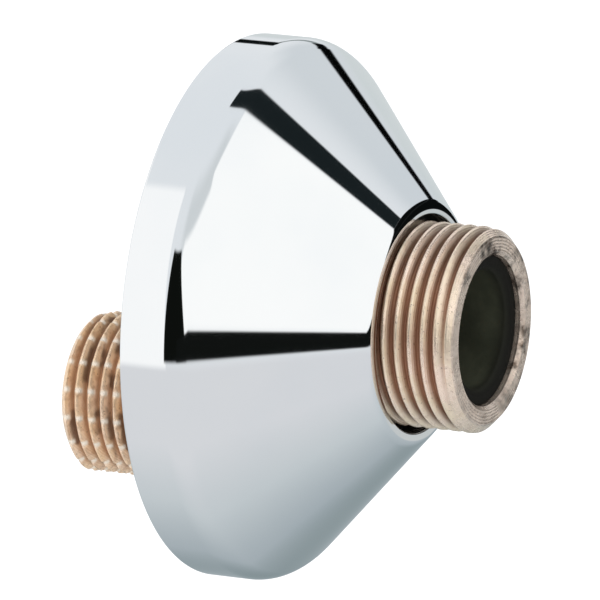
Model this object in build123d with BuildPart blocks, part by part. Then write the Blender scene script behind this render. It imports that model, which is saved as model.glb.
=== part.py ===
from build123d import *
import os
from math import cos, radians, tan

# S-union: an offset brass wall connector, a chromed escutcheon that slides on it and a damping sleeve.
# The outlet points along -Y and the wall is at +Y, with +Z up. The origin lies on the outlet axis, in the
# wall plane that the rim of the escutcheon rests on. Forward distances are measured from the wall plane
# towards the outlet, in millimetres.

# Offset of the two barrels
axis_offset = 13.5

# Outlet barrel, 3/4 inch pipe thread
outlet_reach = 35.4
outlet_thread_radius = 13.22
outlet_thread_length = 12.4
outlet_lead_in = 1.2
outlet_runout_width = 1.5
outlet_runout_depth = 1.6
spigot_step = 0.17

# Inlet barrel, 1/2 inch pipe thread
inlet_reach = 21.3
inlet_thread_radius = 10.478
inlet_thread_length = 18.3
inlet_lead_in = 1.0
inlet_runout_width = 1.6
inlet_runout_depth = 1.4

# Cast neck that joins the barrels
neck_shoulder = 0.9
neck_sections = 6
flat_depth = 1.6
flat_length = 9.6
flat_overrun = 3.4

# Waterway
waterway_radius = 7.7
inlet_bore_radius = 7.3
bore_mouth_chamfer = 0.5

# Damping sleeve in the outlet bore
sleeve_recess = 1.1
sleeve_length = 13.6
sleeve_wall = 1.9
sleeve_mouth_chamfer = 0.7
sleeve_clearance = 0.08

# Escutcheon
rim_radius = 35.0
rim_corner = 7.6
rim_rounding = 4.0
rim_edge_bevel = 0.3
inner_bevel = 1.2
cone_half_angle = 47.2
shell_wall = 1.4
lip_rounding = 1.9
lip_face = 0.54
lip_bevel = 0.12
mouth_gap = 0.88
mouth_depth = 3.2
hub_length = 5.3
hub_wall = 3.0
hub_clearance = 0.2
hub_back_travel = 4.0
hub_stop_gap = 0.4

# Section of the escutcheon, worked out from its sizes
cone_slope = tan(radians(cone_half_angle))
wall_across = shell_wall / cos(radians(cone_half_angle))
mouth_radius = outlet_thread_radius + mouth_gap
lip_corner_radius = mouth_radius + lip_face + lip_rounding * tan(radians(90 - cone_half_angle) / 2)
escutcheon_depth = rim_corner + (rim_radius - lip_corner_radius) / cone_slope
inner_corner = rim_corner + (shell_wall - wall_across) / cone_slope
hub_bore_radius = outlet_thread_radius + hub_clearance
hub_radius = hub_bore_radius + hub_wall
hub_front = escutcheon_depth - mouth_depth
hub_rear = hub_front - hub_length
hub_root = rim_corner + (rim_radius - wall_across - hub_radius) / cone_slope

# Places on the brass body, worked out from the sizes above
spigot_radius = outlet_thread_radius - spigot_step
outlet_runout_radius = outlet_thread_radius - outlet_runout_depth
inlet_runout_radius = inlet_thread_radius - inlet_runout_depth
thread_rear = outlet_reach - outlet_thread_length
runout_rear = thread_rear - outlet_runout_width
inlet_thread_front = inlet_thread_length - inlet_reach
neck_front = hub_rear - hub_back_travel - hub_stop_gap
neck_rear = inlet_thread_front + inlet_runout_width
neck_rear_radius = inlet_thread_radius + neck_shoulder
flat_front = neck_front + flat_overrun
flat_offset = spigot_radius - flat_depth
flat_height = 2 * (spigot_radius + axis_offset)
sleeve_seat = outlet_reach - sleeve_recess - sleeve_length
sleeve_radius = waterway_radius + sleeve_wall
sleeve_seat_radius = sleeve_radius + sleeve_clearance

# Profiles are drawn as (radius, forward distance) and turned about their barrel's axis
outlet_profile = Plane((0, 0, 0), x_dir=(1, 0, 0), z_dir=(0, 0, -1))
inlet_profile = Plane((0, 0, -axis_offset), x_dir=(1, 0, 0), z_dir=(0, 0, -1))
outlet_axis = Axis((0, 0, 0), (0, 1, 0))
inlet_axis = Axis((0, 0, -axis_offset), (0, 1, 0))


def neck_stations(front_radius, rear_radius):
    """Forward distance, drop and radius of each round section of the neck, along an S that leaves both
    barrels straight."""
    stations = []
    for step in range(neck_sections + 1):
        share = step / neck_sections
        forward = neck_front + (neck_rear - neck_front) * share
        drop = axis_offset * share * share * (3 - 2 * share)
        radius = front_radius + (rear_radius - front_radius) * share
        stations.append((forward, drop, radius))
    return stations


with BuildPart() as s_union_body:
    # Outlet barrel: plain spigot, run-out groove and thread with its lead-in
    with BuildSketch(outlet_profile):
        with BuildLine():
            Polyline(
                (0, neck_front),
                (spigot_radius, neck_front),
                (spigot_radius, runout_rear),
                (outlet_runout_radius, runout_rear),
                (outlet_runout_radius, thread_rear),
                (outlet_thread_radius, thread_rear),
                (outlet_thread_radius, outlet_reach - outlet_lead_in),
                (outlet_thread_radius - outlet_lead_in, outlet_reach),
                (0, outlet_reach),
                close=True,
            )
        make_face()
    revolve(axis=outlet_axis)
    # Inlet barrel: thread with its lead-in, and the run-out groove against the neck's shoulder
    with BuildSketch(inlet_profile):
        with BuildLine():
            Polyline(
                (0, neck_rear),
                (inlet_runout_radius, neck_rear),
                (inlet_runout_radius, inlet_thread_front),
                (inlet_thread_radius, inlet_thread_front),
                (inlet_thread_radius, inlet_lead_in - inlet_reach),
                (inlet_thread_radius - inlet_lead_in, -inlet_reach),
                (0, -inlet_reach),
                close=True,
            )
        make_face()
    revolve(axis=inlet_axis)
    # Cast neck: round sections that drop from the outlet axis to the inlet axis
    for forward, drop, radius in neck_stations(spigot_radius, neck_rear_radius):
        with BuildSketch(Plane.XZ.offset(forward)):
            with Locations((0, -drop)):
                Circle(radius)
    loft(ruled=True)
    # Two flats for the fitter's wrench, one on each side of the neck
    with BuildSketch(Plane.XZ.offset(flat_front - flat_length)):
        with Locations((flat_offset, 0)):
            Rectangle(spigot_radius, flat_height, align=(Align.MIN, Align.CENTER))
        with Locations((-flat_offset, 0)):
            Rectangle(spigot_radius, flat_height, align=(Align.MAX, Align.CENTER))
    extrude(amount=flat_length, mode=Mode.SUBTRACT)
    # Waterway: sleeve seat and straight bore at the outlet
    with BuildSketch(outlet_profile):
        with BuildLine():
            Polyline(
                (0, neck_front),
                (waterway_radius, neck_front),
                (waterway_radius, sleeve_seat),
                (sleeve_seat_radius, sleeve_seat),
                (sleeve_seat_radius, outlet_reach - bore_mouth_chamfer),
                (sleeve_seat_radius + bore_mouth_chamfer, outlet_reach),
                (0, outlet_reach),
                close=True,
            )
        make_face()
    revolve(axis=outlet_axis, mode=Mode.SUBTRACT)
    # Waterway: straight bore at the inlet
    with BuildSketch(inlet_profile):
        with BuildLine():
            Polyline(
                (0, neck_rear),
                (inlet_bore_radius, neck_rear),
                (inlet_bore_radius, bore_mouth_chamfer - inlet_reach),
                (inlet_bore_radius + bore_mouth_chamfer, -inlet_reach),
                (0, -inlet_reach),
                close=True,
            )
        make_face()
    revolve(axis=inlet_axis, mode=Mode.SUBTRACT)
    # Waterway: the oblique passage through the neck
    for forward, drop, radius in neck_stations(waterway_radius, inlet_bore_radius):
        with BuildSketch(Plane.XZ.offset(forward)):
            with Locations((0, -drop)):
                Circle(radius)
    loft(ruled=True, mode=Mode.SUBTRACT)

with BuildPart() as noise_damper:
    # Plain sleeve that seats on the step in the outlet bore
    with BuildSketch(outlet_profile):
        with BuildLine():
            Polyline(
                (waterway_radius, sleeve_seat),
                (sleeve_radius, sleeve_seat),
                (sleeve_radius, sleeve_seat + sleeve_length),
                (waterway_radius + sleeve_mouth_chamfer, sleeve_seat + sleeve_length),
                (waterway_radius, sleeve_seat + sleeve_length - sleeve_mouth_chamfer),
                close=True,
            )
        make_face()
    revolve(axis=outlet_axis)

with BuildPart() as escutcheon:
    # Thin shell: rim band, rounded shoulder, cone and rolled lip, with a hub inside that rides on the barrel
    with BuildSketch(outlet_profile) as shell_section:
        with BuildLine():
            Polyline(
                (rim_radius - shell_wall, 0),
                (rim_radius, 0),
                (rim_radius, rim_corner),
                (lip_corner_radius, escutcheon_depth),
                (mouth_radius, escutcheon_depth),
                (mouth_radius, hub_front),
                (hub_bore_radius, hub_front),
                (hub_bore_radius, hub_rear),
                (hub_radius, hub_rear),
                (hub_radius, hub_root),
                (rim_radius - shell_wall, inner_corner),
                close=True,
            )
        make_face()

        def corner(radius, forward):
            """The corner of the section nearest to a place on it."""
            return shell_section.vertices().sort_by_distance((radius, forward, 0))[0]

        fillet(corner(rim_radius, rim_corner), rim_rounding)
        fillet(corner(lip_corner_radius, escutcheon_depth), lip_rounding)
        chamfer(corner(rim_radius - shell_wall, inner_corner), inner_bevel)
        chamfer(corner(mouth_radius, escutcheon_depth), lip_bevel)
        chamfer(corner(rim_radius, 0), rim_edge_bevel)
    revolve(axis=outlet_axis)

os.makedirs("parts", exist_ok=True)
s_union_body.part.label = "s_union_body"
export_step(s_union_body.part, "parts/s_union_body.step")
noise_damper.part.label = "noise_damper"
export_step(noise_damper.part, "parts/noise_damper.step")
escutcheon.part.label = "escutcheon"
export_step(escutcheon.part, "parts/escutcheon.step")
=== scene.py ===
"""Looks of the S-union: a bare brass body, a chromed escutcheon and a black damping sleeve in a pale studio."""
from math import cos, pi, radians, sin, tan

import bpy
import numpy as np
from mathutils import Matrix, Vector


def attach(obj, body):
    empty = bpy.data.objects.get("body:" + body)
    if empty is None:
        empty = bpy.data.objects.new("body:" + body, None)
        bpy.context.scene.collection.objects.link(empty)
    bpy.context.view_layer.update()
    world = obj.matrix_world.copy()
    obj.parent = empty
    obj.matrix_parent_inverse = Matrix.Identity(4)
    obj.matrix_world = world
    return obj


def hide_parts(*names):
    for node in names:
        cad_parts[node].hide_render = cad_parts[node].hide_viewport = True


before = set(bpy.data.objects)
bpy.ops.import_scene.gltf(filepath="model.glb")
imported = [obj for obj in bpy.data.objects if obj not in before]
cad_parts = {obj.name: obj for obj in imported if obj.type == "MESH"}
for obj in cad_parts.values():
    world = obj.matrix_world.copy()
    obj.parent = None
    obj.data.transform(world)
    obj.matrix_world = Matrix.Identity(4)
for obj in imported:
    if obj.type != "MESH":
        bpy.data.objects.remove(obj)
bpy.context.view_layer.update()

# Sizes in millimetres. Sections are (radius, forward), where forward runs from the wall plane to the outlet.
MM = 0.001
AXIS_OFFSET = 13.5

OUTLET_REACH = 35.4
OUTLET_CREST = 13.22
OUTLET_LEAD_IN = 1.2
OUTLET_THREAD_REAR = 23.0
RUNOUT_REAR = 21.5
OUTLET_RUNOUT = 11.62
SPIGOT = 13.05

INLET_REACH = 21.3
INLET_CREST = 10.478
INLET_LEAD_IN = 1.0
INLET_THREAD_FRONT = -3.0
INLET_RUNOUT = 9.078

NECK_FRONT = 12.864
NECK_REAR = -1.4
NECK_REAR_RADIUS = 11.378
FLAT_FRONT = 16.264
FLAT_REAR = 6.664
FLAT_OFFSET = 11.45

WATERWAY = 7.7
INLET_BORE = 7.3
BORE_CHAMFER = 0.5
SLEEVE_SEAT = 20.7
SLEEVE_SEAT_RADIUS = 9.68
SLEEVE_FRONT = 34.3
SLEEVE_RADIUS = 9.6
SLEEVE_CHAMFER = 0.7

RIM = 35.0
RIM_CORNER = 7.6
RIM_ROUNDING = 4.0
SHELL_WALL = 1.4
LIP_CORNER = 15.385
LIP_FRONT = 25.764
LIP_ROUNDING = 1.9
MOUTH = 14.1
HUB_FRONT = 22.564
HUB_REAR = 17.264
HUB_ROOT = 22.897
HUB_BORE = 13.42
HUB_RADIUS = 16.42
INNER_CORNER = 6.988

# Pipe thread: pitch, depth, how sharp its rounded tips are and how far forward each helix is set
THREAD_PITCH = 1.814
THREAD_DEPTH = 1.162
TIP_SHARPNESS = 0.965
OUTLET_SHIFT = -0.2
INLET_SHIFT = 0.3
GROOVE_START = 34.76
GROOVE_RUN_IN = 0.8
NOTCH_ROWS = 17
NOTCH_TURN = -2.3
NOTCH_DEPTH = 0.62
NOTCH_HALF_WIDTH = 0.62

# Camera, measured on the 600 x 600 photograph
CAMERA_AZIMUTH = -64.2
CAMERA_ELEVATION = 12.8
CAMERA_DISTANCE = 1200.0
VIEW_WIDTH = 77.2
AIM_RIGHT = 7.45
AIM_UP = 0.53
SENSOR = 36.0

# What the chrome plating takes from the light
PLATING_LOSS = 1.12


def srgb(red, green, blue):
    """A colour written as 0 to 255 on screen, turned into linear light with full alpha."""
    screen = np.array([red, green, blue]) / 255.0
    light = np.where(screen <= 0.04045, screen / 12.92, ((screen + 0.055) / 1.055) ** 2.4)
    return (*light.tolist(), 1.0)


# Surfaces


def eased_section(corners, step):
    """A closed section of straight runs with eased corners.

    Each corner is (radius, forward, easing). An arc of that easing touches both runs at easing x tan(half the turn)
    from the corner. The runs between the arcs are cut into steps, and each run has one more point close to both ends,
    so that the shading turns on the arcs alone. The run of each point is given back beside it.
    """
    places = np.array([corner[:2] for corner in corners], float)
    easings = [corner[2] for corner in corners]
    steps = np.broadcast_to(step, len(corners))
    count = len(corners)
    arcs = []
    for index in range(count):
        into = places[index] - places[index - 1]
        out = places[(index + 1) % count] - places[index]
        into, out = into / np.linalg.norm(into), out / np.linalg.norm(out)
        turn = np.arctan2(into[0] * out[1] - into[1] * out[0], into @ out)
        easing = easings[index]
        if easing == 0 or abs(turn) < 1e-4:
            arcs.append(places[index][None])
            continue
        reach = easing * tan(abs(turn) / 2)
        side = np.sign(turn) * np.array([-into[1], into[0]])
        centre = places[index] - into * reach + side * easing
        bend = np.linspace(0, turn, max(3, int(np.ceil(abs(turn) * np.sqrt(easing) / 0.16)) + 1))[:, None]
        spoke = -side * easing
        swing = np.array([-spoke[1], spoke[0]])
        arcs.append(centre + spoke * np.cos(bend) + swing * np.sin(bend))
    points, runs = [], []
    for index in range(count):
        start, end = arcs[index][-1], arcs[(index + 1) % count][0]
        length = np.linalg.norm(end - start)
        cuts = np.linspace(0, 1, max(1, int(np.ceil(length / steps[index]))) + 1)[1:-1]
        if length > 0.25:
            cuts = np.unique(np.concatenate(([0.03 / length], cuts, [1 - 0.03 / length])))
        run = start + (end - start) * cuts[:, None]
        points += [arcs[index], run]
        runs += [np.full(len(arcs[index]) + len(run), index)]
    return np.concatenate(points), np.concatenate(runs)


def closed_mesh(name, grid):
    """A mesh from a grid of points that closes on itself both ways: each point joins the next row and the next column.

    The enclosed volume, summed over the corners of all faces, tells whether the faces have to be turned outwards.
    """
    rows, columns = grid.shape[:2]
    index = np.arange(rows * columns).reshape(rows, columns)
    below = np.roll(index, -1, axis=0)
    faces = np.stack((index, below, np.roll(below, -1, axis=1), np.roll(index, -1, axis=1)), axis=-1).reshape(-1, 4)
    points = grid.reshape(-1, 3)
    first, second, third, fourth = (points[faces[:, side]] for side in range(4))
    volume = (np.cross(second, third) * first).sum() + (np.cross(third, fourth) * first).sum()
    if volume < 0:
        faces = faces[:, ::-1]
    mesh = bpy.data.meshes.new(name)
    mesh.vertices.add(len(points))
    mesh.vertices.foreach_set("co", np.ascontiguousarray(points * MM, dtype=np.float32).ravel())
    mesh.loops.add(faces.size)
    mesh.loops.foreach_set("vertex_index", np.ascontiguousarray(faces, dtype=np.int32).ravel())
    mesh.polygons.add(len(faces))
    mesh.polygons.foreach_set("loop_start", np.arange(0, faces.size, 4, dtype=np.int32))
    mesh.polygons.foreach_set("use_smooth", np.ones(len(faces), dtype=bool))
    mesh.update(calc_edges=True)
    mesh.validate()
    return mesh


def shade_value(mesh, name, values):
    """Stores one number at each point of the mesh, for its material to read."""
    layer = mesh.attributes.new(name, "FLOAT", "POINT")
    layer.data.foreach_set("value", np.ascontiguousarray(values, dtype=np.float32).ravel())


def turned(section, segments):
    """A section carried round the outlet axis: x is radius x cosine, z is radius x sine and y is minus forward."""
    angle = np.arange(segments) * (2 * pi / segments)
    radius, forward = section[:, :1], section[:, 1:]
    return np.stack((radius * np.cos(angle), -forward + 0 * angle, radius * np.sin(angle)), axis=-1)


def place(mesh, material, body, node):
    """Puts a finished mesh into the scene in place of its solid, riding on that solid's body."""
    piece = bpy.data.objects.new(mesh.name, mesh)
    bpy.context.scene.collection.objects.link(piece)
    mesh.materials.append(material)
    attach(piece, body)
    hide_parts(node)
    return piece


# Pieces


def thread_turns(forward, angle, shift):
    """Turns along the helix: whole numbers are crests and halves are roots, one pitch further on in each turn."""
    return (forward - shift) / THREAD_PITCH - angle / (2 * pi)


def thread_cut(forward, angle, shift):
    """How deep the thread is cut, nothing on a crest and its depth in a root: the arcsine of a cosine, a triangle wave
    with rounded tips."""
    wave = np.arcsin(TIP_SHARPNESS * np.cos(2 * pi * thread_turns(forward, angle, shift)))
    return THREAD_DEPTH * (0.5 - wave / (2 * np.arcsin(TIP_SHARPNESS)))


def groove_share(forward, angle):
    """Share of its full depth that the outlet's groove has reached, by the forward distance of the nearest root: none
    in front of the groove's start, and all of it one run-in further back."""
    nearest = np.round(thread_turns(forward, angle, OUTLET_SHIFT) - 0.5) + 0.5
    root = OUTLET_SHIFT + THREAD_PITCH * (nearest + angle / (2 * pi))
    return np.clip((GROOVE_START - root) / GROOVE_RUN_IN, 0, 1)


def neck_drop(forward):
    """How far the round sections have dropped: the offset times 3 t squared minus 2 t cubed along the neck."""
    share = np.clip((NECK_FRONT - forward) / (NECK_FRONT - NECK_REAR), 0, 1)
    return AXIS_OFFSET * share * share * (3 - 2 * share)


def neck_radius(forward):
    """Outer radius of the neck, in even proportion between its two ends."""
    share = (NECK_FRONT - forward) / (NECK_FRONT - NECK_REAR)
    return SPIGOT + (NECK_REAR_RADIUS - SPIGOT) * share


def brass_body():
    """The brass casting as one skin: out over the outlet thread, neck and inlet thread, and back through the waterway.

    Each point of the section becomes a ring about its own axis, lowered by the neck's drop. On the threads the ring's
    radius is the smaller of the section and the thread, and on the inlet the notches across the crests count too.
    """
    coarse, fine = 0.5, 0.165
    corners = [
        (SLEEVE_SEAT_RADIUS + BORE_CHAMFER, OUTLET_REACH, 0.12, coarse),
        (OUTLET_CREST - OUTLET_LEAD_IN, OUTLET_REACH, 0.3, fine),
        (OUTLET_CREST, OUTLET_REACH - OUTLET_LEAD_IN, 0.2, fine),
        (OUTLET_CREST, OUTLET_THREAD_REAR, 0.05, coarse),
        (OUTLET_RUNOUT, OUTLET_THREAD_REAR, 0.1, coarse),
        (OUTLET_RUNOUT, RUNOUT_REAR, 0.1, coarse),
        (SPIGOT, RUNOUT_REAR, 0.15, coarse),
        (SPIGOT, FLAT_FRONT + 0.01, 0, coarse),
        (SPIGOT, FLAT_FRONT - 0.01, 0, coarse),
        (SPIGOT, NECK_FRONT, 0.6, coarse),
        (neck_radius(FLAT_REAR + 0.01), FLAT_REAR + 0.01, 0, coarse),
        (neck_radius(FLAT_REAR - 0.01), FLAT_REAR - 0.01, 0, coarse),
        (NECK_REAR_RADIUS, NECK_REAR, 0.5, coarse),
        (INLET_RUNOUT, NECK_REAR, 0.2, coarse),
        (INLET_RUNOUT, INLET_THREAD_FRONT, 0.1, coarse),
        (INLET_CREST, INLET_THREAD_FRONT, 0.05, fine),
        (INLET_CREST, INLET_LEAD_IN - INLET_REACH, 0.2, fine),
        (INLET_CREST - INLET_LEAD_IN, -INLET_REACH, 0.15, coarse),
        (INLET_BORE + BORE_CHAMFER, -INLET_REACH, 0.1, coarse),
        (INLET_BORE, BORE_CHAMFER - INLET_REACH, 0.1, 2.5),
        (INLET_BORE, NECK_REAR, 0, coarse),
        (WATERWAY, NECK_FRONT, 0, coarse),
        (WATERWAY, SLEEVE_SEAT, 0.05, coarse),
        (SLEEVE_SEAT_RADIUS, SLEEVE_SEAT, 0.05, 2.5),
        (SLEEVE_SEAT_RADIUS, OUTLET_REACH - BORE_CHAMFER, 0.1, coarse),
    ]
    section, runs = eased_section([corner[:3] for corner in corners], [corner[3] for corner in corners])
    angle = np.arange(NOTCH_ROWS * 13) * (2 * pi / (NOTCH_ROWS * 13))
    forward = section[:, 1:] + 0 * angle
    plain = section[:, :1] + 0 * angle
    outside = (runs < 18)[:, None]
    on_outlet = outside & (forward > OUTLET_THREAD_REAR - 0.01)
    on_inlet = outside & (forward < INLET_THREAD_FRONT + 0.01)
    outlet_cut = thread_cut(forward, angle, OUTLET_SHIFT) * groove_share(forward, angle)
    radius = np.where(on_outlet, np.minimum(plain, OUTLET_CREST - outlet_cut), plain)
    row = 2 * pi / NOTCH_ROWS
    off_row = np.abs((angle - radians(NOTCH_TURN) + row / 2) % row - row / 2) * INLET_CREST
    notch = NOTCH_DEPTH * np.clip(1 - off_row / NOTCH_HALF_WIDTH, 0, 1)
    inlet_cut = np.maximum(thread_cut(forward, angle, INLET_SHIFT), notch)
    radius = np.where(on_inlet, np.minimum(plain, INLET_CREST - inlet_cut), radius)
    across = radius * np.cos(angle)
    flat = outside & (forward < FLAT_FRONT) & (forward > FLAT_REAR)
    across = np.where(flat, np.clip(across, -FLAT_OFFSET, FLAT_OFFSET), across)
    grid = np.stack((across, -forward, radius * np.sin(angle) - neck_drop(forward)), axis=-1)
    mesh = closed_mesh("brass_body", grid)
    shade_value(mesh, "thread_root", np.clip((plain - radius) / THREAD_DEPTH, 0, 1) * (on_outlet | on_inlet))
    shade_value(mesh, "cast_skin", outside & (forward < RUNOUT_REAR) & (forward > INLET_THREAD_FRONT))
    shade_value(mesh, "inlet_thread", np.repeat(runs < 17, len(angle)) * (forward < RUNOUT_REAR).ravel())
    shade_value(mesh, "notch", on_inlet * (forward > 0.3 - INLET_REACH) * notch / NOTCH_DEPTH)
    faced = np.clip(forward - OUTLET_REACH + OUTLET_LEAD_IN + 0.6, 0, 1) * 0.2 + 0.8 * (forward > OUTLET_REACH - 0.15)
    shade_value(mesh, "end_face", np.where(outside, faced, forward > OUTLET_REACH - 1.2))
    return mesh


def chrome_escutcheon():
    """The escutcheon as a thin turned shell: rim band, rounded shoulder, straight cone and rolled lip, then back
    through the mouth, the hub that rides on the barrel and the inner wall."""
    corners = [
        (RIM - SHELL_WALL, 0, 0.15),
        (RIM, 0, 0.3),
        (RIM, RIM_CORNER, RIM_ROUNDING),
        (LIP_CORNER, LIP_FRONT, LIP_ROUNDING),
        (MOUTH, LIP_FRONT, 0.15),
        (MOUTH, HUB_FRONT, 0.1),
        (HUB_BORE, HUB_FRONT, 0.1),
        (HUB_BORE, HUB_REAR, 0.1),
        (HUB_RADIUS, HUB_REAR, 0.2),
        (HUB_RADIUS, HUB_ROOT, 0.3),
        (RIM - SHELL_WALL, INNER_CORNER, RIM_ROUNDING - SHELL_WALL),
    ]
    section, runs = eased_section(corners, 2.0)
    segments = 360
    mesh = closed_mesh("chrome_escutcheon", turned(section, segments))
    behind_lip = section[:, 1] < LIP_FRONT - 0.2
    inside = ((runs >= 4) & behind_lip) | ((runs == 0) & (section[:, 0] < RIM - SHELL_WALL / 2))
    shade_value(mesh, "inside", np.repeat(inside, segments))
    # The mouth, hub front and hub bore are marked for a nearly black colour, painted shade in the gap round the brass
    shade_value(mesh, "mouth", np.repeat((runs >= 4) & (runs <= 6) & behind_lip, segments))
    return mesh


def damping_sleeve():
    """The black sleeve in the outlet bore, a plain tube with a bevelled mouth."""
    corners = [
        (WATERWAY, SLEEVE_SEAT, 0.1),
        (SLEEVE_RADIUS, SLEEVE_SEAT, 0.1),
        (SLEEVE_RADIUS, SLEEVE_FRONT, 0.15),
        (WATERWAY + SLEEVE_CHAMFER, SLEEVE_FRONT, 0.2),
        (WATERWAY, SLEEVE_FRONT - SLEEVE_CHAMFER, 0.4),
    ]
    section, _ = eased_section(corners, 0.7)
    return closed_mesh("damping_sleeve", turned(section, 180))


# Node helpers


def add(tree, kind, sockets=None, **settings):
    """Adds a node, sets its properties and then its inputs, each a plain value or another node's output."""
    made = tree.nodes.new(kind)
    for name, value in settings.items():
        setattr(made, name, value)
    for key, value in (sockets or {}).items():
        if isinstance(value, bpy.types.NodeSocket):
            tree.links.new(value, made.inputs[key])
        else:
            made.inputs[key].default_value = value
    return made


def maths(tree, operation, *values):
    """One step of arithmetic on numbers."""
    return add(tree, "ShaderNodeMath", dict(enumerate(values)), operation=operation).outputs[0]


def blend(tree, share, first, second):
    """A colour between two colours."""
    return add(
        tree, "ShaderNodeMix", {0: share, 6: first, 7: second}, data_type="RGBA", clamp_factor=True
    ).outputs[2]


def remap(tree, value, low, high, to_low=0.0, to_high=1.0, kind="SMOOTHSTEP"):
    """A number moved from one range into another, with soft ends."""
    return add(
        tree,
        "ShaderNodeMapRange",
        {"Value": value, "From Min": low, "From Max": high, "To Min": to_low, "To Max": to_high},
        interpolation_type=kind,
    ).outputs["Result"]


def node_group(name, inputs, outputs):
    """An empty shader node group with named number and vector sockets, and its two end nodes."""
    group = bpy.data.node_groups.new(name, "ShaderNodeTree")
    for label, value in inputs.items():
        kind = "NodeSocketVector" if value is None else "NodeSocketFloat"
        socket = group.interface.new_socket(label, in_out="INPUT", socket_type=kind)
        if value is not None:
            socket.default_value = value
    for label in outputs:
        group.interface.new_socket(label, in_out="OUTPUT", socket_type="NodeSocketFloat")
    return group, group.nodes.new("NodeGroupInput"), group.nodes.new("NodeGroupOutput")


def use(tree, group, sockets):
    """Places a node group in a tree."""
    return add(tree, "ShaderNodeGroup", sockets, node_tree=group)


def noise(tree, where, scale, detail=3.0, roughness=0.55):
    """Soft random values over space."""
    return add(
        tree,
        "ShaderNodeTexNoise",
        {"Vector": where, "Scale": scale, "Detail": detail, "Roughness": roughness},
    ).outputs["Fac"]


def handling_marks():
    """Group: broad cloudy stains and fine specks, as on a part that has been machined and handled."""
    group, start, end = node_group(
        "handling_marks", {"Place": None, "Cloud Scale": 60.0, "Speck Scale": 900.0, "Speck Share": 0.4},
        ("Cloud", "Speck"),
    )
    place_socket = start.outputs["Place"]
    cloud = remap(group, noise(group, place_socket, start.outputs["Cloud Scale"]), 0.35, 0.68)
    grains = noise(group, place_socket, start.outputs["Speck Scale"], 2.0, 0.6)
    edge = maths(group, "SUBTRACT", 0.78, maths(group, "MULTIPLY", start.outputs["Speck Share"], 0.3))
    speck = remap(group, grains, edge, maths(group, "ADD", edge, 0.09))
    group.links.new(cloud, end.inputs["Cloud"])
    group.links.new(speck, end.inputs["Speck"])
    return group


def turning_rings():
    """Group: the fine rings of a lathe tool, a sine of the distance from the turning axis plus the distance along it."""
    group, start, end = node_group(
        "turning_rings", {"Place": None, "Axis Drop": 0.0, "Rings per Metre": 9000.0}, ("Height",)
    )
    parts = add(group, "ShaderNodeSeparateXYZ", {0: start.outputs["Place"]}).outputs
    lifted = maths(group, "ADD", parts["Z"], start.outputs["Axis Drop"])
    spread = maths(group, "SQRT", maths(group, "ADD", maths(group, "MULTIPLY", parts["X"], parts["X"]),
                                        maths(group, "MULTIPLY", lifted, lifted)))
    along = maths(group, "ADD", spread, parts["Y"])
    wobble = maths(group, "MULTIPLY", noise(group, start.outputs["Place"], 400.0, 1.0), 4.0)
    turns = maths(group, "MULTIPLY", along, start.outputs["Rings per Metre"])
    wave = maths(group, "SINE", maths(group, "ADD", turns, wobble))
    group.links.new(maths(group, "MULTIPLY_ADD", wave, 0.5, 0.5), end.inputs["Height"])
    return group


# Materials


def new_material(name):
    """An empty node material with its shader and output."""
    material = bpy.data.materials.new(name)
    material.use_nodes = True
    tree = material.node_tree
    tree.nodes.clear()
    shader = add(tree, "ShaderNodeBsdfPrincipled")
    output = add(tree, "ShaderNodeOutputMaterial", {"Surface": shader.outputs[0]})
    output.is_active_output = True
    place_socket = add(tree, "ShaderNodeTexCoord").outputs["Object"]
    return material, tree, shader, place_socket


def value_of(tree, name):
    """A number stored on the mesh."""
    return add(tree, "ShaderNodeAttribute", attribute_name=name).outputs["Fac"]


def bump(tree, height, distance, strength=1.0):
    """A normal from a height."""
    return add(
        tree, "ShaderNodeBump", {"Height": height, "Distance": distance, "Strength": strength}
    ).outputs["Normal"]


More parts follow.
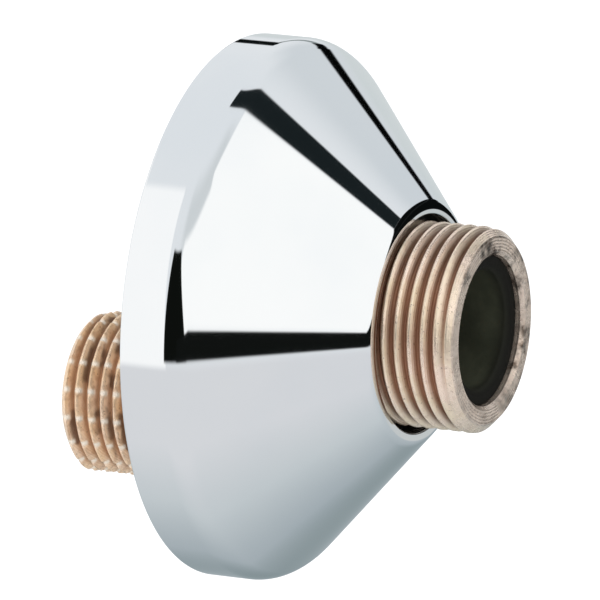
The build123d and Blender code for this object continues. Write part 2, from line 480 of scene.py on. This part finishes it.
def bare_brass(marks, rings):
    """Unplated brass: pale crests, roots painted darker brown as shade and darker still at the top and bottom of each
    barrel, a yellower inlet whose notches are painted near white as fresh-cut metal and glint, stains and specks,
    and a dull skin on the cast neck."""
    material, tree, shader, place_socket = new_material("bare_brass")
    root, cast = value_of(tree, "thread_root"), value_of(tree, "cast_skin")
    worn = use(tree, marks, {"Place": place_socket, "Cloud Scale": 190.0, "Speck Scale": 2600.0,
                             "Speck Share": 0.5}).outputs
    ringed = use(tree, rings, {"Place": place_socket, "Axis Drop": 0.0, "Rings per Metre": 15000.0}).outputs
    parts = add(tree, "ShaderNodeSeparateXYZ", {0: place_socket}).outputs
    towards_inlet = maths(
        tree, "MULTIPLY", remap(tree, parts["Y"], -0.012, 0.004), value_of(tree, "inlet_thread")
    )
    crest = blend(tree, towards_inlet, srgb(255, 233, 215), srgb(252, 224, 196))
    yellow = blend(tree, towards_inlet, srgb(255, 240, 206), srgb(250, 210, 160))
    crest = blend(tree, maths(tree, "MULTIPLY", worn["Cloud"], 0.6), crest, yellow)
    faced = value_of(tree, "end_face")
    crest = blend(tree, faced, crest, srgb(229, 212, 197))
    stains = use(tree, marks, {"Place": place_socket, "Cloud Scale": 430.0, "Speck Scale": 1300.0,
                               "Speck Share": 0.6}).outputs
    patches = maths(tree, "POWER", stains["Cloud"], 1.6)
    stained = maths(tree, "MULTIPLY_ADD", patches, 1.0, maths(tree, "MULTIPLY", stains["Speck"], 0.25))
    upper_right = remap(tree, maths(tree, "ADD", parts["X"], parts["Z"]), -0.013, 0.005, 0.35, 1.0)
    stained = maths(tree, "MULTIPLY", stained, upper_right)
    crest = blend(tree, maths(tree, "MULTIPLY", faced, stained), crest, srgb(66, 58, 50))
    # Painted shade: the thread roots take a darker brown than the crests, standing in for the shade in the grooves
    deep = blend(tree, towards_inlet, srgb(162, 118, 94), srgb(170, 122, 86))
    # Painted shade: the roots darken further towards the top and bottom of each barrel, where the grooves are seen
    # edge-on
    off_axis = maths(tree, "MULTIPLY_ADD", towards_inlet, AXIS_OFFSET * MM, parts["Z"])
    edge_on_root_shade = remap(tree, maths(tree, "ABSOLUTE", off_axis), 0.0055, 0.0115, 0.0, 0.65)
    deep = blend(tree, edge_on_root_shade, deep, srgb(78, 62, 49))
    shaded = maths(tree, "MULTIPLY_ADD", towards_inlet, -0.16, root)
    colour = blend(tree, remap(tree, shaded, 0.17, 0.88), crest, deep)
    colour = blend(tree, maths(tree, "MULTIPLY", worn["Speck"], 0.5), colour, srgb(90, 66, 50))
    mottled = remap(tree, noise(tree, place_socket, 900.0, 2.0), 0.46, 0.64)
    mottled = maths(tree, "MULTIPLY", mottled, maths(tree, "MULTIPLY_ADD", towards_inlet, 0.22, 0.1))
    colour = blend(tree, mottled, colour, srgb(170, 120, 84))
    streaks = add(tree, "ShaderNodeMapping", {"Vector": place_socket, "Scale": (1.0, 2.4, 1.0)}).outputs[0]
    tarnished = remap(tree, noise(tree, streaks, 240.0, 2.0), 0.48, 0.6, 0.0, 0.7)
    in_groove = maths(tree, "MULTIPLY", towards_inlet, remap(tree, root, 0.2, 0.65))
    colour = blend(tree, maths(tree, "MULTIPLY", tarnished, in_groove), colour, srgb(84, 54, 36))
    # Partly painted highlight: the notches on the crests are painted near white, as fresh-cut metal and as the glints
    # on them
    fresh_cut_glint = remap(tree, value_of(tree, "notch"), 0.05, 0.95)
    fresh_cut_glint = maths(tree, "MULTIPLY", fresh_cut_glint, remap(tree, root, 0.75, 0.5, 0.0, 0.8))
    colour = blend(tree, fresh_cut_glint, colour, srgb(255, 248, 236))
    colour = blend(tree, maths(tree, "MULTIPLY", cast, 0.85), colour, srgb(176, 128, 88))
    rough = maths(tree, "MULTIPLY_ADD", root, 0.2, 0.22)
    rough = maths(tree, "MULTIPLY_ADD", worn["Cloud"], 0.1, rough)
    rough = maths(tree, "MULTIPLY_ADD", cast, 0.2, rough)
    grain = noise(tree, place_socket, 1500.0, 4.0, 0.6)
    height = maths(tree, "MULTIPLY_ADD", ringed["Height"], 0.22, grain)
    tree.links.new(colour, shader.inputs["Base Color"])
    tree.links.new(rough, shader.inputs["Roughness"])
    tree.links.new(bump(tree, height, 0.00012, 0.6), shader.inputs["Normal"])
    tree.links.new(maths(tree, "MULTIPLY_ADD", towards_inlet, -0.4, 0.75), shader.inputs["Metallic"])
    shader.inputs["Specular IOR Level"].default_value = 0.3
    return material


def polished_chrome(marks, rings):
    """Bright chrome plating with faint wipe marks, a duller turned finish inside the shell, and the mouth painted
    nearly black as shade in the gap round the brass.
    """
    material, tree, shader, place_socket = new_material("polished_chrome")
    inside = value_of(tree, "inside")
    worn = use(tree, marks, {"Place": place_socket, "Cloud Scale": 45.0, "Speck Scale": 1800.0,
                             "Speck Share": 0.1}).outputs
    ringed = use(tree, rings, {"Place": place_socket, "Axis Drop": 0.0, "Rings per Metre": 7000.0}).outputs
    bright = blend(tree, worn["Cloud"], srgb(242, 244, 245), srgb(238, 241, 243))
    colour = blend(tree, inside, bright, srgb(164, 160, 152))
    # Painted shade: the mouth, hub front and hub bore are painted nearly black, standing in for the shade in the gap
    # round the brass
    colour = blend(tree, value_of(tree, "mouth"), colour, srgb(40, 35, 30))
    rough = maths(tree, "MULTIPLY_ADD", worn["Cloud"], 0.02, 0.035)
    rough = maths(tree, "MULTIPLY_ADD", worn["Speck"], 0.03, rough)
    rough = maths(tree, "MULTIPLY_ADD", inside, 0.3, rough)
    ripple = noise(tree, place_socket, 75.0, 1.0, 0.4)
    height = maths(tree, "MULTIPLY_ADD", maths(tree, "MULTIPLY", inside, ringed["Height"]), 0.3, ripple)
    tree.links.new(colour, shader.inputs["Base Color"])
    tree.links.new(rough, shader.inputs["Roughness"])
    tree.links.new(bump(tree, height, 0.00002, 0.5), shader.inputs["Normal"])
    tree.links.new(maths(tree, "MULTIPLY_ADD", inside, -0.45, 1.0), shader.inputs["Metallic"])
    return material


def black_rubber(marks):
    """Matt moulded rubber, nearly black, with a fine grain and clouds of dust, painted lighter deeper in the bore
    to lift its shade and darker on the bevelled mouth to hide its highlight.
    """
    material, tree, shader, place_socket = new_material("black_rubber")
    worn = use(tree, marks, {"Place": place_socket, "Cloud Scale": 220.0, "Speck Scale": 2200.0,
                             "Speck Share": 0.3}).outputs
    depth = add(tree, "ShaderNodeSeparateXYZ", {0: place_socket}).outputs["Y"]
    dust_and_painted_light = blend(tree, worn["Cloud"], srgb(56, 59, 48), srgb(68, 71, 58))
    # Painted light and shade: deeper in the bore the colour is lighter, making up for the shade there, and the
    # bevelled mouth is painted darker so it shows no lit ring
    colour = blend(tree, remap(tree, depth, -0.0344, -0.0318), srgb(24, 24, 21), dust_and_painted_light)
    colour = blend(tree, maths(tree, "MULTIPLY", worn["Speck"], 0.3), colour, srgb(48, 48, 44))
    rough = maths(tree, "MULTIPLY_ADD", worn["Cloud"], 0.12, 0.66)
    tree.links.new(colour, shader.inputs["Base Color"])
    tree.links.new(rough, shader.inputs["Roughness"])
    grain = noise(tree, place_socket, 1800.0, 3.0)
    tree.links.new(bump(tree, grain, 0.00008, 0.6), shader.inputs["Normal"])
    shader.inputs["Specular IOR Level"].default_value = 0.08
    return material


def pale_floor_paint():
    """Even matt white with a trace of mottling."""
    material, tree, shader, place_socket = new_material("pale_floor_paint")
    shade = blend(tree, noise(tree, place_socket, 6.0), srgb(247, 247, 248), srgb(250, 250, 250))
    tree.links.new(shade, shader.inputs["Base Color"])
    shader.inputs["Roughness"].default_value = 0.9
    shader.inputs["Specular IOR Level"].default_value = 0.0
    shader.inputs["Emission Color"].default_value = (1.0, 1.0, 1.0, 1.0)
    shader.inputs["Emission Strength"].default_value = 0.09
    return material


# Studio


def studio_card():
    """Group: a soft-edged card round the object, given by the azimuths of its sides and the elevations of its ends.

    The right side may lean: it moves by that many degrees for each degree above the bottom. The mask is the product
    of four soft steps, one on the distance in from each edge.
    """
    group, start, end = node_group(
        "studio_card",
        {"Azimuth": 0.0, "Elevation": 0.0, "Left": -10.0, "Right": 10.0, "Lean": 0.0, "Bottom": -10.0, "Top": 10.0,
         "Softness": 2.0},
        ("Mask",),
    )
    given = start.outputs
    away = maths(group, "MULTIPLY", given["Softness"], -1.0)
    risen = maths(group, "SUBTRACT", given["Elevation"], given["Bottom"])
    right_side = maths(group, "MULTIPLY_ADD", risen, given["Lean"], given["Right"])
    mask = remap(group, risen, away, given["Softness"])
    for far, near in (("Azimuth", "Left"), ("Top", "Elevation")):
        step = remap(group, maths(group, "SUBTRACT", given[far], given[near]), away, given["Softness"])
        mask = maths(group, "MULTIPLY", mask, step)
    step = remap(group, maths(group, "SUBTRACT", right_side, given["Azimuth"]), away, given["Softness"])
    group.links.new(maths(group, "MULTIPLY", mask, step), end.inputs["Mask"])
    return group


def studio_world():
    """Soft studio light as a colour for each direction. Azimuth 0 is straight out of the wall and grows towards +X.

    The colours are those seen in the chrome, and the light is made stronger by what the plating takes away.
    """
    world = bpy.data.worlds.new("pale_studio")
    bpy.context.scene.world = world
    world.use_nodes = True
    tree = world.node_tree
    tree.nodes.clear()
    way = add(tree, "ShaderNodeTexCoord").outputs["Generated"]
    parts = add(tree, "ShaderNodeSeparateXYZ", {0: way}).outputs
    heading = maths(tree, "ARCTAN2", parts["X"], maths(tree, "MULTIPLY", parts["Y"], -1.0))
    azimuth = maths(tree, "DEGREES", heading)
    elevation = maths(tree, "DEGREES", maths(tree, "ARCSINE", parts["Z"]))
    card = studio_card()

    # The table: pale, and darker and bluer on the right, by the cosine of the angle to its darkest direction
    lean = add(
        tree, "ShaderNodeVectorMath", {0: way, 1: direction(104.0, -40.0)}, operation="DOT_PRODUCT"
    ).outputs["Value"]
    table = srgb(211, 212, 215)
    for near, far, tint in (
        (0.1, 0.55, (192, 198, 201)), (0.55, 0.9, (162, 171, 176)), (0.9, 1.0, (133, 145, 148))
    ):
        table = blend(tree, remap(tree, lean, near, far, kind="LINEAR"), table, srgb(*tint))

    # The ceiling and walls, and then the cards from the largest to the smallest
    colour = blend(tree, remap(tree, elevation, -16.0, -11.0), table, srgb(221, 224, 227))
    cards = (
        # shaded ceiling on the left and on the right, left wall, right wall, soft box and its taller side
        (-80.0, 15.0, 0.0, 30.0, 58.0, 12.0, (203, 207, 209)),
        (56.0, 100.0, 0.0, 2.0, 40.0, 12.0, (203, 208, 212)),
        (-190.0, -98.0, -0.45, -14.5, 51.5, 1.8, (246, 246, 246)),
        (88.0, 190.0, 0.0, -15.0, 8.0, 4.0, (200, 206, 207)),
        (-68.0, 31.0, 0.0, -4.5, 35.0, 3.5, (249, 249, 248)),
        (-8.0, 31.0, 0.0, 20.0, 43.0, 2.0, (249, 249, 248)),
        # lit edge of the table, unlit camera side, dark band, dark corner and the slope above it,
        # and the dark line: its faint end, the end on the rim, its turn and its straight
        (50.0, 82.0, 0.0, -24.0, -10.8, 1.6, (192, 195, 195)),
        (-105.0, -22.7, -1.15, -12.3, 32.3, 1.2, (13, 15, 13)),
        (-60.0, 60.0, 0.0, -12.3, -3.7, 0.6, (16, 18, 17)),
        (31.0, 86.0, 0.0, -10.4, 15.0, 0.8, (10, 12, 12)),
        (31.0, 83.0, -1.53, 14.5, 37.0, 0.8, (10, 12, 12)),
        (94.0, 116.0, 0.0, 14.0, 17.4, 1.0, (130, 138, 138)),
        (115.0, 124.0, 0.0, 14.2, 19.6, 0.6, (10, 14, 14)),
        (84.5, 97.0, 0.0, 12.8, 18.0, 0.8, (6, 8, 8)),
        (83.9, 88.9, 0.0, 6.0, 17.6, 0.7, (4, 5, 5)),
    )
    for left, right, side_lean, bottom, top, softness, tint in cards:
        mask = use(
            tree, card,
            {"Azimuth": azimuth, "Elevation": elevation, "Left": left, "Right": right, "Lean": side_lean,
             "Bottom": bottom, "Top": top, "Softness": softness},
        ).outputs["Mask"]
        colour = blend(tree, mask, colour, srgb(*tint))

    # The dark gap between two lit ceiling panels: a strip on a plan of the ceiling, in degrees from straight up. Its
    # middle bows to the right by the square of the distance along it, it widens by that square too,
    # and it stops overhead and above the soft box.
    from_top = maths(tree, "SUBTRACT", 90.0, elevation)
    across = maths(tree, "MULTIPLY", from_top, maths(tree, "SINE", heading))
    along = maths(tree, "MULTIPLY", from_top, maths(tree, "COSINE", heading))
    along_squared = maths(tree, "MULTIPLY", along, along)
    middle = maths(tree, "MULTIPLY_ADD", along_squared, 0.0107, 15.0)
    widened = maths(tree, "MULTIPLY_ADD", along_squared, 0.00034, 1.0)
    off_middle = maths(tree, "DIVIDE", maths(tree, "SUBTRACT", across, middle), widened)
    gap = remap(tree, maths(tree, "ABSOLUTE", off_middle), 5.8, 4.6)
    gap = maths(tree, "MULTIPLY", gap, remap(tree, along, -0.7, 0.7))
    gap = maths(tree, "MULTIPLY", gap, remap(tree, elevation, 36.3, 37.7))
    colour = blend(tree, gap, colour, srgb(24, 30, 32))

    # Matt surfaces are lit evenly, and behind the object the studio is plain white
    ray = add(tree, "ShaderNodeLightPath").outputs
    even = 1.27 / PLATING_LOSS
    colour = blend(tree, ray["Is Diffuse Ray"], colour, (even, even, even, 1.0))
    plain = 1.0 / PLATING_LOSS
    colour = blend(tree, ray["Is Camera Ray"], colour, (plain, plain, plain, 1.0))
    background = add(tree, "ShaderNodeBackground", {"Color": colour, "Strength": PLATING_LOSS})
    add(tree, "ShaderNodeOutputWorld", {"Surface": background.outputs[0]})


def direction(azimuth, elevation):
    """Unit vector at an azimuth from straight out of the wall, and an elevation, in degrees."""
    a, e = radians(azimuth), radians(elevation)
    return (sin(a) * cos(e), -cos(a) * cos(e), sin(e))


def pale_floor():
    """A wide flat floor below the object, as a two by two grid of points."""
    half, level = 3.0, -0.060
    steps = np.array([-half, half])
    across, along = np.meshgrid(steps, steps, indexing="ij")
    points = np.stack((across, along, np.full_like(across, level)), axis=-1).reshape(-1, 3)
    mesh = bpy.data.meshes.new("pale_floor")
    mesh.from_pydata(points.tolist(), [], [(0, 2, 3, 1)])
    mesh.materials.append(pale_floor_paint())
    floor = bpy.data.objects.new("pale_floor", mesh)
    bpy.context.scene.collection.objects.link(floor)
    floor.visible_glossy = False


def photo_camera():
    """A long lens at the photograph's viewing angle, aimed beside the origin as the photograph is framed."""
    back = Vector(direction(CAMERA_AZIMUTH, CAMERA_ELEVATION))
    right = Vector((cos(radians(CAMERA_AZIMUTH)), sin(radians(CAMERA_AZIMUTH)), 0.0))
    up = back.cross(right)
    aim = right * (AIM_RIGHT * MM) + up * (AIM_UP * MM)
    lens = bpy.data.cameras.new("photo_camera")
    lens.sensor_width = SENSOR
    lens.lens = SENSOR * CAMERA_DISTANCE / VIEW_WIDTH
    lens.clip_start = 0.01
    lens.clip_end = 50.0
    camera = bpy.data.objects.new("photo_camera", lens)
    turn = Matrix((right, up, back)).transposed().to_4x4()
    camera.matrix_world = Matrix.Translation(aim + back * (CAMERA_DISTANCE * MM)) @ turn
    bpy.context.scene.collection.objects.link(camera)
    bpy.context.scene.camera = camera


marks_group, rings_group = handling_marks(), turning_rings()
place(brass_body(), bare_brass(marks_group, rings_group), "union", "s_union_body")
place(damping_sleeve(), black_rubber(marks_group), "union", "noise_damper")
place(chrome_escutcheon(), polished_chrome(marks_group, rings_group), "cover", "escutcheon")

pale_floor()
studio_world()
photo_camera()
bpy.context.scene.view_settings.view_transform = "Standard"
